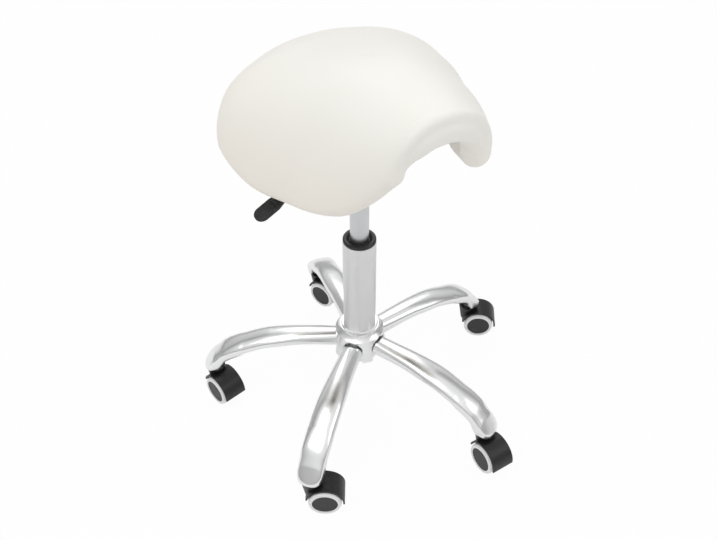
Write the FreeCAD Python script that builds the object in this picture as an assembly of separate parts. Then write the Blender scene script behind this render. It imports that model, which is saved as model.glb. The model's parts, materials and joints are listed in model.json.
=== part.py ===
"""A saddle stool on a five-arm wheeled base with a gas lift, one solid or group of solids per file.

Millimetres, +Z up. The origin is on the floor, on the axis of the column. A sitter faces -Y, so
-X is at the sitter's right hand. The seat is at the top of its travel.
"""

import FreeCAD
import Part
import math
import os

V = FreeCAD.Vector
UP = V(0, 0, 1)
ORIGIN = V(0, 0, 0)

# Clearances
RUN = 0.06  # radial, of a shaft that turns or slides in its bore
SEAT_GAP = 0.3  # between faces of pieces that move past each other
WELD_GAP = 0.2  # between the arms and the hub's sleeve
OVERCUT = 1.0  # of a cutting tool past the face that it opens

# Base and its arms
ARMS = 5
BASE_YAW = 5.8  # degrees, from +X to the first arm
STEM_CIRCLE = 238.0  # radius of the circle through the caster stems
ARM_WALL = 2.0
ARM_ROOT = (15.5, 142.0, 114.0)  # half width, crest and underside heights, where it meets the hub
ARM_BACK = (17.6, 142.2, 117.8)
ARM_BELLY = (20.4, 137.0, 114.0)
ARM_SHOULDER = (20.6, 123.5, 98.5)
ARM_KNEE = (20.2, 108.5, 84.5)
ARM_TIP = (19.4, 90.5, 62.0)  # above the stem
ARM_SHARES = (0.28, 0.54, 0.76, 0.905)  # of the way from the hub to the stem, of the four between
ARM_HEEL = 6.0  # from the stem back to where the underside starts to climb
ARM_TOE = 16.0  # from the stem out to the end
ARM_TOE_TOP = 68.0  # crest height at the end
ARM_TOE_POWER = 2.6  # of the end's rounding in plan
ARM_SIDE = 0.7  # radius of a section's sides, as a share of its smaller half
ARM_EDGE = 1.6  # that a squared underside's corners are drawn in
ARM_SQUARE_START = 0.76  # share of the way out from where the underside turns square

# Hub
HUB_TOP = 163.0
HUB_BOTTOM = 107.0
HUB_RADIUS = 42.0
HUB_BROW = 2.5  # of the flare's top edge out from the column
HUB_SHOULDER = (38.0, 149.0)  # radius and height where the flare meets the skirt
HUB_FLARE = 1.6  # that the flare is hollowed
HUB_WALL = 4.0
HUB_SLEEVE_WALL = 5.5
HUB_SLEEVE_BOTTOM = 99.0
COLUMN_LIFT = 4.0  # of the column's foot above the sleeve's
ARCH_GAP = 1.6  # beside each arm, in the skirt's arches
ARCH_RISE = 5.0  # over each arm

# Column and gas lift
COLUMN_RADIUS = 25.0
COLUMN_WALL = 1.6
COLUMN_TOP = 330.0
COLUMN_TAPER = 1.4  # loss of radius from the hub's top to the column's foot
COLUMN_FLOOR = 3.0
BUSH_LENGTH = 62.0
BUSH_RIM = 4.5
BUSH_INSET = 0.4  # of the rim from the column's outside
BUSH_ROUND = 1.5
BUSH_DISH = (5.0, 1.2, 3.5)  # top width, bottom width and depth of the dished ring round the tube
TUBE_RADIUS = 14.0
TUBE_WALL = 1.5
TUBE_SPARE = 2.0  # over the thrust bearing, when the seat is at its lowest
TUBE_TAPER = 0.8
TUBE_NECK = 4.0  # height over which the tube's bore narrows
STROKE = 140.0
ROD_RADIUS = 5.0
SPIGOT_RADIUS = 4.0
BEARING_RADIUS = 11.0
BEARING_HEIGHT = 6.0
CLIP_RADIUS = 7.5
CLIP_THICKNESS = 1.6
SEAL_HEIGHT = 12.0
PISTON_HEIGHT = 11.0
PLUG_HEIGHT = 10.0
BUTTON_RADIUS = 4.0
BUTTON_PROUD = 3.6
BUTTON_LENGTH = 15.0

# Seat plate and lever
STOP_GAP = 35.5  # between the socket and the column's rim, when the seat is at its lowest
SOCKET_DEPTH = 58.0  # of the socket's mouth below the plate's top
SOCKET_HEIGHT = 38.0
SOCKET_RADIUS = 20.0
SOCKET_LIP = 4.0  # by which the tube's top stands out of the socket
PLATE = 3.0
PLATE_WIDTH = 124.0
PLATE_LENGTH = 148.0
PLATE_CORNER = 14.0
HOUSING_WIDTH = 92.0
HOUSING_LENGTH = 62.0
HOUSING_DEPTH = 38.0
HOUSING_WALL = 2.5
BOLT_SPACING_X = 96.0
BOLT_SPACING_Y = 118.0
BOLT_RADIUS = 3.0
BOLT_CLEARANCE = 0.25
BOLT_HEAD_RADIUS = 5.5
BOLT_HEAD = 4.0
NUT_FLANGE_RADIUS = 9.0
NUT_FLANGE = 1.2
NUT_BARREL = 1.2
LEVER_YAW = 7.4  # degrees, towards the front from the sitter's right
LEVER_RADIUS = 4.0
LEVER_INSIDE = 5.0  # reach of the inner end past the button's axis
PIVOT_REACH = 36.0
PIVOT_RADIUS = 2.5
PIVOT_HUB_RADIUS = 6.5
PIVOT_HUB_LENGTH = 9.0
EAR = 3.0
EAR_RADIUS = 6.0
LEVER_KNEE = (58.0, 0.0)  # reach, and drop below the pivot
LEVER_ANKLE = (104.0, 78.0)
LEVER_TIP = (169.0, 102.0)
LEVER_BEND = 12.0
LEVER_SLOT = (24.0, 1.5, 6.0)  # length, side clearance and extra depth of the housing's slot for it
PIN_SPARE = 1.0  # of the pin out of each ear
PADDLE_WIDTH = 23.0
PADDLE_THICKNESS = 6.0
PADDLE_NECK = 6.5
PADDLE_OVERLAP = 24.0
PADDLE_START = 8.0  # of the flat blade, out from the socket's mouth
PADDLE_FLARE = 0.45  # share of the paddle's length where it reaches its full width
PADDLE_EDGE = 1.8

# Seat: a pad of foam in its cover, bent over a moulded shell
PAD = 38.0  # thickness, and the diameter of the rolled edge
REAR_Y = 124.0  # where the pad starts to round off to its rear end, half its thickness further
NOSE_Y = -171.0  # and to its front end
WIDEST_Y = 57.0
HALF_WIDTH = 174.0
NOSE_HALF_WIDTH = 97.0  # that the sides' taper would reach at the front end
NOSE_TAPER = 1.3  # power of that taper
NOSE_POWER = 8.0  # of the rounding that cuts it short
CROWN_Y = -130.0
CROWN_RISE = 82.0  # of the crown's top above the plate
CROWN_FALL = 47.0  # from there to REAR_Y
FLAP_Y = -25.0
FLAP_DROP = 83.5  # of the flaps' lowest edge below the plate's top
FLAP_REAR_RISE = 44.0  # from there to REAR_Y
FLAP_NOSE_RISE = 77.0  # and to NOSE_Y
END_LIFT = 0.75  # share of the flap's height by which its edge is higher at the very ends
SHOULDER = 0.80  # of the arch's rise, the radius of its shoulder
FLANK = 0.12  # least share of an arch's rise that is a straight flank
CEILING_FRONT_Y = -82.0  # the vault is flat over the plate, back from here
SHELL = 12.0
SHELL_REAR_Y = 92.0
SHELL_FRONT_Y = -96.0
SHEET_SPARE = 1.0  # that each sheet is cut back from
SHELL_MARGIN = 12.0  # of the shell above the middle of the rolled edge
VAULT_CORNER = 0.55  # of the vault's height, the radius of its corners
LINING = 1.0
LINING_GAP = 0.1
LINING_MARGIN = 3.0  # inside the shell's edges, and round the plate
SECTIONS = 8  # between the rounded ends
END_LEANS = (70.0, 40.0)  # degrees round each end's roll, of the sections there

# Casters
WHEEL_RADIUS = 25.0
TYRE_DEPTH = 5.6
TYRE_WIDTH = 15.0
TYRE_ROUND = 3.0
DISC_RECESS = 0.9
DISC = 2.4
CASTER_HALF_WIDTH = 21.1
WEB = 8.0
AXLE_RADIUS = 3.0
AXLE_BOSS_RADIUS = 6.0
TRAIL = 20.5
HOOD_HALF_WIDTH = 18.8
HOOD_WALL = 2.5
HOOD_GAP = 2.3
HOOD_ANGLES = (-4.0, 166.0)  # its rear and front edges, in degrees about the axle
WEB_ANGLES = (20.0, 172.0)
BOSS_RADII = (10.5, 15.3)  # of the boss round the stem, at its bottom and its top
BOSS_BOTTOM = 30.0
BOSS_GAP = 0.5  # between the boss with the stem's flange and the arm's underside
STEM_FOOT = 36.0
STEM_RADIUS = 5.5
STEM_FLANGE_RADIUS = 8.0
STEM_FLANGE = 1.5
SLEEVE_RADIUS = 7.5
SLEEVE_TOP = 77.0
CASTER_TRAILS = (-34.0, -68.0, -78.0, -31.0, -88.0)  # degrees, where each caster trails at rest

parts = {}


def revolve(points):
    """A solid of revolution about Z from (radius, height) corners."""
    ring = [V(r, 0, z) for r, z in points]
    return Part.Face(Part.makePolygon(ring + ring[:1])).revolve(ORIGIN, UP, 360)


def cylinder(radius, bottom, top, x=0.0, y=0.0):
    return Part.makeCylinder(radius, top - bottom, V(x, y, bottom))


def ring(outer, inner, bottom, top):
    return cylinder(outer, bottom, top).cut(cylinder(inner, bottom - 1, top + 1))


def block(x0, x1, y0, y1, z0, z1):
    return Part.makeBox(x1 - x0, y1 - y0, z1 - z0, V(x0, y0, z0))


def turned(shape, degrees, x=0.0, y=0.0):
    """A copy turned about Z and then moved."""
    copy = shape.copy()
    copy.rotate(ORIGIN, UP, degrees)
    copy.translate(V(x, y, 0))
    return copy


def arc(a, b, c):
    return Part.Arc(a, b, c).toShape()


def line(a, b):
    return Part.LineSegment(a, b).toShape()


def loft(wires, ruled=False):
    return Part.makeLoft(wires, True, ruled)


def arm_section(x, half_width, top, bottom, square):
    """An upright oval of four arcs in the plane at x. Its underside is square where square is 1."""
    middle, half_depth = (top + bottom) / 2, (top - bottom) / 2
    side = ARM_SIDE * min(half_width, half_depth)
    crown = (half_width**2 - 2 * half_width * side + half_depth**2) / (2 * (half_depth - side))
    slope = math.atan2(crown - half_depth, half_width - side)
    joint_y = half_width - side + side * math.cos(slope)
    joint_z = side * math.sin(slope)
    edge = min(ARM_EDGE, half_width / 4, half_depth / 4)
    low_y = joint_y + square * (half_width - edge - joint_y)
    low_z = joint_z + square * (half_depth - edge / 2 - joint_z)

    def at(y, z):
        return V(x, y, middle + z)

    return Part.Wire(
        [
            arc(at(joint_y, joint_z), at(0, half_depth), at(-joint_y, joint_z)),
            arc(at(-joint_y, joint_z), at(-half_width, 0), at(-low_y, -low_z)),
            arc(at(-low_y, -low_z), at(0, -half_depth), at(low_y, -low_z)),
            arc(at(low_y, -low_z), at(half_width, 0), at(joint_y, joint_z)),
        ]
    )


def arm_stations():
    """(reach, half width, crest, underside, squareness) of the arm, from the hub to its toe."""
    start = sleeve_radius() + WELD_GAP
    run = STEM_CIRCLE - start
    stations = [(start, *ARM_ROOT, 0.0)]
    for share, station in zip(ARM_SHARES, (ARM_BACK, ARM_BELLY, ARM_SHOULDER, ARM_KNEE)):
        square = max(0.0, (share - ARM_SQUARE_START) / (1 - ARM_SQUARE_START))
        stations.append((start + share * run, *station, math.sqrt(square)))
    half_width, top, sole = ARM_TIP
    slope = (ARM_KNEE[1] - top) / (STEM_CIRCLE - stations[-1][0])
    stations.append((STEM_CIRCLE - ARM_HEEL, half_width, top + slope * ARM_HEEL, sole, 1.0))
    for share in (0.0, 0.6, 0.92):
        reach = STEM_CIRCLE + share * ARM_TOE
        narrow = half_width * (1 - share**ARM_TOE_POWER) ** (1 / ARM_TOE_POWER)
        crest = top + (ARM_TOE_TOP - top) * share
        stations.append((reach, narrow, crest, sole, 1.0))
    return stations


def sleeve_radius():
    """Outer radius of the hub's inner sleeve, which the arms are welded to."""
    return COLUMN_RADIUS + HUB_SLEEVE_WALL


def build_arms():
    outer, inner = [], []
    for reach, half_width, top, bottom, square in arm_stations():
        outer.append(arm_section(reach, half_width, top, bottom, square))
        if reach <= STEM_CIRCLE:
            hollow = (half_width - ARM_WALL, top - ARM_WALL, bottom + ARM_WALL, square)
            inner.append(arm_section(reach, *hollow))
    arm = loft(outer, ruled=True).cut(loft(inner, ruled=True))
    socket = cylinder(SLEEVE_RADIUS + RUN, BOSS_BOTTOM, SLEEVE_TOP + RUN, STEM_CIRCLE)
    arm = arm.cut(socket)
    for i in range(ARMS):
        parts[f"base_arm_{i + 1}"] = turned(arm, arm_angle(i))


def arm_angle(i):
    return BASE_YAW + i * 360 / ARMS


def stem_place(i):
    angle = math.radians(arm_angle(i))
    return STEM_CIRCLE * math.cos(angle), STEM_CIRCLE * math.sin(angle)


def build_hub():
    """An inner sleeve with a tapered bore, and a skirt with an arch over each arm."""
    shoulder_radius, shoulder_z = HUB_SHOULDER
    brow, shoulder = V(COLUMN_RADIUS + HUB_BROW, 0, HUB_TOP), V(shoulder_radius, 0, shoulder_z)
    across = (brow - shoulder).normalize()
    hollowed = (brow + shoulder) / 2 + V(-across.z, 0, across.x) * HUB_FLARE
    foot = V(HUB_RADIUS, 0, HUB_BOTTOM)
    outside = [line(V(0, 0, HUB_BOTTOM), foot), line(foot, shoulder), arc(shoulder, hollowed, brow)]
    outside += [line(brow, V(0, 0, HUB_TOP)), line(V(0, 0, HUB_TOP), V(0, 0, HUB_BOTTOM))]
    inside = [
        (0, HUB_BOTTOM - OVERCUT),
        (HUB_RADIUS - HUB_WALL, HUB_BOTTOM - OVERCUT),
        (shoulder_radius - HUB_WALL, shoulder_z - HUB_WALL / 2),
        (0, shoulder_z - HUB_WALL / 2),
    ]
    hub = Part.Face(Part.Wire(outside)).revolve(ORIGIN, UP, 360).cut(revolve(inside))
    hub = hub.fuse(cylinder(sleeve_radius(), HUB_SLEEVE_BOTTOM, HUB_TOP - HUB_WALL))
    half_width, crest, _ = ARM_ROOT
    half = half_width + ARCH_GAP
    spring = crest + ARCH_RISE - half
    near, far = sleeve_radius() + WELD_GAP / 2, HUB_RADIUS + OVERCUT
    foot = HUB_BOTTOM - OVERCUT
    arch = Part.Wire(
        [
            line(V(near, -half, foot), V(near, half, foot)),
            line(V(near, half, foot), V(near, half, spring)),
            arc(V(near, half, spring), V(near, 0, spring + half), V(near, -half, spring)),
            line(V(near, -half, spring), V(near, -half, foot)),
        ]
    )
    arch = Part.Face(arch).extrude(V(far - near, 0, 0))
    for i in range(ARMS):
        hub = hub.cut(turned(arch, arm_angle(i)))
    foot_radius = COLUMN_RADIUS - COLUMN_TAPER
    bore = revolve(
        [
            (0, HUB_SLEEVE_BOTTOM - OVERCUT),
            (foot_radius + RUN, HUB_SLEEVE_BOTTOM - OVERCUT),
            (foot_radius + RUN, HUB_SLEEVE_BOTTOM),
            (COLUMN_RADIUS + RUN, HUB_TOP),
            (COLUMN_RADIUS + RUN, HUB_TOP + OVERCUT),
            (0, HUB_TOP + OVERCUT),
        ]
    )
    parts["base_hub"] = hub.cut(bore).removeSplitter()


def column_foot():
    return HUB_SLEEVE_BOTTOM + COLUMN_LIFT


def build_column():
    """The outer tube, whose tapered foot wedges in the hub and whose floor carries the rod."""
    foot = column_foot()
    fall = COLUMN_TAPER * (HUB_TOP - foot) / (HUB_TOP - HUB_SLEEVE_BOTTOM)
    floor_top = foot + COLUMN_FLOOR
    inner = COLUMN_RADIUS - COLUMN_WALL
    hole = SPIGOT_RADIUS + RUN
    parts["column_tube"] = revolve(
        [
            (hole, foot),
            (COLUMN_RADIUS - fall, foot),
            (COLUMN_RADIUS, HUB_TOP),
            (COLUMN_RADIUS, COLUMN_TOP),
            (inner, COLUMN_TOP),
            (inner, HUB_TOP),
            (inner - fall, floor_top),
            (hole, floor_top),
        ]
    )
    bore = TUBE_RADIUS + RUN
    rim_top = column_rim()
    rim = COLUMN_RADIUS - BUSH_INSET
    dish_top, dish_foot, dish_depth = BUSH_DISH
    parts["guide_bush"] = revolve(
        [
            (bore, COLUMN_TOP - BUSH_LENGTH),
            (inner - RUN, COLUMN_TOP - BUSH_LENGTH),
            (inner - RUN, COLUMN_TOP),
            (rim, COLUMN_TOP),
            (rim, rim_top - BUSH_ROUND),
            (rim - BUSH_ROUND, rim_top),
            (bore + dish_top, rim_top),
            (bore + dish_foot, rim_top - dish_depth),
            (bore, rim_top - dish_depth),
        ]
    )


def column_rim():
    return COLUMN_TOP + BUSH_RIM


def socket_bottom():
    return column_rim() + STOP_GAP + STROKE


def plate_top():
    return socket_bottom() + SOCKET_DEPTH


def tube_top():
    return socket_bottom() + SOCKET_HEIGHT


def build_lift():
    """The pressure tube and what it carries, and the rod that it slides on."""
    floor_top = column_foot() + COLUMN_FLOOR
    step = floor_top + SEAT_GAP + BEARING_HEIGHT
    foot = step + TUBE_SPARE + STROKE
    top = tube_top()
    inner = TUBE_RADIUS - TUBE_WALL
    button = BUTTON_RADIUS + RUN
    parts["pressure_tube"] = revolve(
        [
            (inner, foot),
            (TUBE_RADIUS, foot),
            (TUBE_RADIUS, socket_bottom()),
            (TUBE_RADIUS - TUBE_TAPER, top),
            (button, top),
            (button, top - PLUG_HEIGHT),
            (inner - TUBE_TAPER, top - PLUG_HEIGHT),
            (inner - TUBE_TAPER, socket_bottom()),
            (inner, socket_bottom() - TUBE_NECK),
        ]
    )
    button_top = top + BUTTON_PROUD
    parts["release_button"] = cylinder(BUTTON_RADIUS, button_top - BUTTON_LENGTH, button_top)
    seal_top = foot + SEAL_HEIGHT
    parts["rod_seal"] = ring(inner - RUN, ROD_RADIUS + RUN, foot, seal_top)
    piston_foot = seal_top + SEAT_GAP
    piston_top = piston_foot + PISTON_HEIGHT
    parts["piston"] = ring(inner - RUN, ROD_RADIUS, piston_foot, piston_top)
    spigot_foot = column_foot() - SEAT_GAP - 2 * CLIP_THICKNESS
    rod = cylinder(ROD_RADIUS, step, piston_top + 2)
    parts["piston_rod"] = rod.fuse(cylinder(SPIGOT_RADIUS, spigot_foot, step)).removeSplitter()
    parts["thrust_bearing"] = ring(BEARING_RADIUS, SPIGOT_RADIUS, floor_top + SEAT_GAP, step)
    clip_top = column_foot() - SEAT_GAP
    parts["retaining_clip"] = ring(CLIP_RADIUS, SPIGOT_RADIUS, clip_top - CLIP_THICKNESS, clip_top)


def bolt_places():
    half_x, half_y = BOLT_SPACING_X / 2, BOLT_SPACING_Y / 2
    return [(x, y) for x in (-half_x, half_x) for y in (-half_y, half_y)]


def pivot_height():
    """The lever's straight inner run lies just over the button."""
    return tube_top() + BUTTON_PROUD + SEAT_GAP + LEVER_RADIUS


def build_seat_plate():
    """A flat plate over a folded housing, with the taper socket and the ears for the lever's pin."""
    under = plate_top() - PLATE
    half_x, half_y = PLATE_WIDTH / 2, PLATE_LENGTH / 2
    plate = block(-half_x, half_x, -half_y, half_y, under, plate_top())
    corners = [e for e in plate.Edges if abs(e.tangentAt(e.FirstParameter).z) > 0.9]
    plate = plate.makeFillet(PLATE_CORNER, corners)
    half_x, half_y = HOUSING_WIDTH / 2, HOUSING_LENGTH / 2
    floor = under - HOUSING_DEPTH
    wall = HOUSING_WALL
    housing = block(-half_x, half_x, -half_y, half_y, floor, under)
    upright = [e for e in housing.Edges if abs(e.tangentAt(e.FirstParameter).z) > 0.9]
    housing = housing.makeFillet(3 * wall, upright)
    hollow = block(-half_x + wall, half_x - wall, -half_y + wall, half_y - wall, floor + wall, under)
    upright = [e for e in hollow.Edges if abs(e.tangentAt(e.FirstParameter).z) > 0.9]
    housing = housing.cut(hollow.makeFillet(2 * wall, upright))
    socket = cylinder(SOCKET_RADIUS, socket_bottom(), tube_top() - SOCKET_LIP)
    shape = plate.fuse([housing, socket])
    shape = shape.cut(
        revolve(
            [
                (0, socket_bottom() - OVERCUT),
                (TUBE_RADIUS + RUN, socket_bottom() - OVERCUT),
                (TUBE_RADIUS + RUN, socket_bottom()),
                (TUBE_RADIUS - TUBE_TAPER + RUN, tube_top()),
                (0, tube_top()),
            ]
        )
    )
    for x, y in bolt_places():
        hole = cylinder(BOLT_RADIUS + BOLT_CLEARANCE, under - OVERCUT, plate_top() + OVERCUT, x, y)
        shape = shape.cut(hole)
    pivot = pivot_height()
    slot_length, slot_side, slot_depth = LEVER_SLOT
    half = LEVER_RADIUS + slot_side
    near, far = -half_x - slot_length / 2, -half_x + slot_length / 2
    slot = block(near, far, -half, half, pivot - half - slot_depth, pivot + half)
    shape = shape.cut(turned(slot, LEVER_YAW))
    hub_half = PIVOT_HUB_LENGTH / 2 + SEAT_GAP
    near, far = -PIVOT_REACH - EAR_RADIUS, -PIVOT_REACH + EAR_RADIUS
    for low in (-hub_half - EAR, hub_half):
        ear = block(near, far, low, low + EAR, pivot - EAR_RADIUS, under)
        shape = shape.fuse(turned(ear, LEVER_YAW))
    half = hub_half + EAR + PIN_SPARE
    start, along = V(-PIVOT_REACH, -half, pivot), V(0, 1, 0)
    pin_hole = Part.makeCylinder(PIVOT_RADIUS + RUN / 2, 2 * half, start, along)
    parts["seat_plate"] = shape.cut(turned(pin_hole, LEVER_YAW)).removeSplitter()
    parts["lever_pin"] = turned(Part.makeCylinder(PIVOT_RADIUS, 2 * half, start, along), LEVER_YAW)


def bent_rod(points, radius, bend):
    """A round rod along straight runs joined by arcs of one radius."""
    edges = []
    start = points[0]
    for before, corner, after in zip(points, points[1:], points[2:]):
        back = (before - corner).normalize()
        on = (after - corner).normalize()
        half = back.getAngle(on) / 2
        reach = bend / math.tan(half)
        middle = (back + on).normalize() * (bend / math.sin(half) - bend)
        edges.append(line(start, corner + back * reach))
        edges.append(arc(corner + back * reach, corner + middle, corner + on * reach))
        start = corner + on * reach
    edges.append(line(start, points[-1]))
    direction = (points[1] - points[0]).normalize()
    profile = Part.Wire(Part.makeCircle(radius, points[0], direction))
    return Part.Wire(edges).makePipeShell([profile], True, False)


def build_lever():
    """A bent rod over the button, pinned in the housing, with a flat paddle on its outer end."""
    pivot = pivot_height()

    def at(reach, drop):
        return V(-reach, 0, pivot - drop)

    tip, ankle = at(*LEVER_TIP), at(*LEVER_ANKLE)
    along = (tip - ankle).normalize()
    rod_end = ankle + along * (LEVER_BEND + PADDLE_OVERLAP)
    path = [at(-LEVER_INSIDE, 0), at(*LEVER_KNEE), ankle, rod_end]
    rod = bent_rod(path, LEVER_RADIUS, LEVER_BEND)
    half = PIVOT_HUB_LENGTH / 2
    hub = Part.makeCylinder(PIVOT_HUB_RADIUS, 2 * half, V(-PIVOT_REACH, -half, pivot), V(0, 1, 0))
    hole = Part.makeCylinder(PIVOT_RADIUS + RUN, 4 * half, V(-PIVOT_REACH, -2 * half, pivot), V(0, 1, 0))
    rod = rod.fuse(hub).cut(hole).removeSplitter()
    parts["lever_rod"] = turned(rod, LEVER_YAW)

    start = ankle + along * LEVER_BEND
    length = (tip - start).Length
    half_width = PADDLE_WIDTH / 2
    foot = -PADDLE_THICKNESS / 2
    wide = length - half_width
    flare = PADDLE_FLARE * length
    left = [V(PADDLE_START, PADDLE_NECK, foot), V(flare, half_width, foot), V(wide, half_width, foot)]
    right = [V(p.x, -p.y, foot) for p in left]
    blade = Part.Wire(
        [
            line(right[0], right[1]),
            line(right[1], right[2]),
            arc(right[2], V(length, 0, foot), left[2]),
            line(left[2], left[1]),
            line(left[1], left[0]),
            line(left[0], right[0]),
        ]
    )
    blade = Part.Face(blade).extrude(V(0, 0, PADDLE_THICKNESS))
    rim = []
    for edge in blade.Edges:
        centre = edge.CenterOfMass
        level = min(abs(centre.z - foot), abs(centre.z + foot)) < PADDLE_EDGE / 4
        if level and centre.x > PADDLE_START + PADDLE_EDGE:
            rim.append(edge)
    blade = blade.makeFillet(PADDLE_EDGE, rim)
    neck = Part.makeCylinder(PADDLE_NECK, PADDLE_OVERLAP + PADDLE_NECK / 2, ORIGIN, V(1, 0, 0))
    paddle = blade.fuse(neck)
    depth = OVERCUT + PADDLE_OVERLAP + SEAT_GAP
    bore = Part.makeCylinder(LEVER_RADIUS + RUN, depth, V(-OVERCUT, 0, 0), V(1, 0, 0))
    paddle = paddle.cut(bore).removeSplitter()
    slope = math.degrees(math.atan2(-along.z, -along.x))
    paddle.rotate(ORIGIN, V(0, 1, 0), 180 - slope)
    paddle.translate(start)
    parts["lever_paddle"] = turned(paddle, LEVER_YAW)


def half_width_at(y):
    """Outer half width: an ellipse behind the widest place, a taper with a blunt nose before it."""
    if y > WIDEST_Y:
        share = (y - WIDEST_Y) / (REAR_Y + PAD / 2 - WIDEST_Y)
        return HALF_WIDTH * math.sqrt(1 - share**2)
    share = (WIDEST_Y - y) / (WIDEST_Y - NOSE_Y + PAD / 2)
    taper = HALF_WIDTH - (HALF_WIDTH - NOSE_HALF_WIDTH) * share**NOSE_TAPER
    return taper * (1 - share**NOSE_POWER) ** (1 / 3)


def crown_at(y):
    """Height of the pad's middle surface along the crown."""
    top = plate_top() + CROWN_RISE - PAD / 2
    return top - CROWN_FALL * ((y - CROWN_Y) / (REAR_Y - CROWN_Y)) ** 2


def flap_at(y):
    """Height of the middle of the flap's rolled edge."""
    low = plate_top() - FLAP_DROP + PAD / 2
    if y > FLAP_Y:
        return low + FLAP_REAR_RISE * ((y - FLAP_Y) / (REAR_Y - FLAP_Y)) ** 2
    return low + FLAP_NOSE_RISE * ((y - FLAP_Y) / (NOSE_Y - FLAP_Y)) ** 3


def slant(curve, y):
    """How much thicker a sheet is when it is cut across at y and not square to the curve there."""
    return min(1.35, math.hypot(1, curve(y + 1) - curve(y)))


def ceiling_at(y):
    """Height of the vault under the pad and its shell: flat over the plate, then rising forward."""
    flat_end = SHELL_REAR_Y + SHEET_SPARE
    if y > flat_end:
        share = (y - flat_end) / (REAR_Y - flat_end)
        return plate_top() + (crown_at(REAR_Y) - PAD / 2 - plate_top()) * share
    if y > CEILING_FRONT_Y:
        return plate_top()
    share = (CEILING_FRONT_Y - y) / (CEILING_FRONT_Y - NOSE_Y)
    return plate_top() + (crown_at(NOSE_Y) - PAD / 2 - plate_top()) * math.sin(share * math.pi / 2)


def vault_at(y):
    """(half width, foot, radius of the flap's rolled edge) of the vault's walls at y."""
    edge = PAD / 2 * slant(half_width_at, min(y, WIDEST_Y + 45))
    foot = flap_at(y) - PAD / 2 * slant(flap_at, y) + edge
    return half_width_at(y) - 2 * edge, foot, edge


def domed_arch(y, half_width, top, foot):
    """Edges of an arch with straight flanks, rounded shoulders and a crown, from right to left."""
    rise = min((1 - FLANK) * (top - foot), 0.94 * half_width)
    base = top - rise
    side = SHOULDER * rise
    crown = (half_width**2 - 2 * half_width * side + rise**2) / (2 * (rise - side))
    slope = math.atan2(crown - rise, half_width - side)

    def at(angle, sign):
        return V(sign * (half_width - side + side * math.cos(angle)), y, base + side * math.sin(angle))

    edges = [line(V(half_width, y, foot), V(half_width, y, base))]
    edges.append(arc(V(half_width, y, base), at(slope / 2, 1), at(slope, 1)))
    edges.append(arc(at(slope, 1), V(0, y, top), at(slope, -1)))
    edges.append(arc(at(slope, -1), at(slope / 2, -1), V(-half_width, y, base)))
    edges.append(line(V(-half_width, y, base), V(-half_width, y, foot)))
    return edges


def flat_arch(y, half_width, top, foot, corner):
    """Edges of an arch with straight flanks, round corners and a flat ceiling, from left to right."""
    flat = half_width - corner
    low = top - corner
    diagonal = corner * math.sqrt(0.5)
    return [
        line(V(-half_width, y, foot), V(-half_width, y, low)),
        arc(V(-half_width, y, low), V(-flat - diagonal, y, low + diagonal), V(-flat, y, top)),
        line(V(-flat, y, top), V(flat, y, top)),
        arc(V(flat, y, top), V(flat + diagonal, y, low + diagonal), V(half_width, y, low)),
        line(V(half_width, y, low), V(half_width, y, foot)),
    ]


def vault_corner(half_width, rise):
    return min(VAULT_CORNER * rise, 0.86 * half_width)


def pad_section(y, sheet_y, fullness):
    """The pad cut across at y. Fullness is 1 along the pad and falls to 0 round its ends."""
    crown = crown_at(sheet_y)
    edge = PAD / 2 * fullness * slant(half_width_at, min(sheet_y, WIDEST_Y + 45))
    lift = END_LIFT * (1 - fullness) ** 1.5 * (crown - flap_at(sheet_y))
    foot = flap_at(sheet_y) + lift - PAD / 2 * fullness * slant(flap_at, sheet_y) + edge
    outer = half_width_at(y)
    inner = outer - 2 * edge
    ceiling = crown - (crown - ceiling_at(sheet_y)) * fullness
    diagonal = edge * math.sqrt(0.5)

    def roll(start, end):
        """Two quarter arcs under a flap's edge, from x = start to x = end."""
        bend = math.copysign(diagonal, start - end)
        centre = (start + end) / 2
        bottom = V(centre, y, foot - edge)
        first = arc(V(start, y, foot), V(centre + bend, y, foot - diagonal), bottom)
        last = arc(bottom, V(centre - bend, y, foot - diagonal), V(end, y, foot))
        return [first, last]

    edges = domed_arch(y, outer, crown + PAD / 2 * fullness, foot)
    edges += roll(-outer, -inner)
    edges += flat_arch(y, inner, ceiling, foot, vault_corner(inner, ceiling - foot))
    edges += roll(inner, outer)
    return Part.Wire(edges)


def sheet_section(y, outset, inset, rise):
    """A sheet that follows the vault at y, from inset below its surface to outset above it."""
    half_width, foot, edge = vault_at(y)
    ceiling = ceiling_at(y)
    corner = vault_corner(half_width, ceiling - foot)
    foot += rise
    outer = flat_arch(y, half_width + outset, ceiling + outset, foot, corner + outset)
    inner = flat_arch(y, half_width - inset, ceiling - inset, foot, corner - inset)
    right = line(V(half_width + outset, y, foot), V(half_width - inset, y, foot))
    left = line(V(inset - half_width, y, foot), V(-half_width - outset, y, foot))
    return Part.Wire(outer + [right] + inner[::-1] + [left])


def sheet_loft(outset, inset, margin):
    """A sheet in the vault, margin larger than the shell all round."""
    rear, front = SHELL_REAR_Y + SHEET_SPARE, SHELL_FRONT_Y - SHEET_SPARE
    wires = []
    for y in (rear, WIDEST_Y, 0.0, CEILING_FRONT_Y / 2, CEILING_FRONT_Y, front):
        wires.append(sheet_section(y, outset, inset, SHELL_MARGIN - margin))
    sheet = loft(wires, ruled=True)
    rear, front = SHELL_REAR_Y + margin, SHELL_FRONT_Y - margin
    low, high = plate_top() - FLAP_DROP, plate_top() + CROWN_RISE
    return sheet.common(block(-HALF_WIDTH, HALF_WIDTH, front, rear, low, high))


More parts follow.
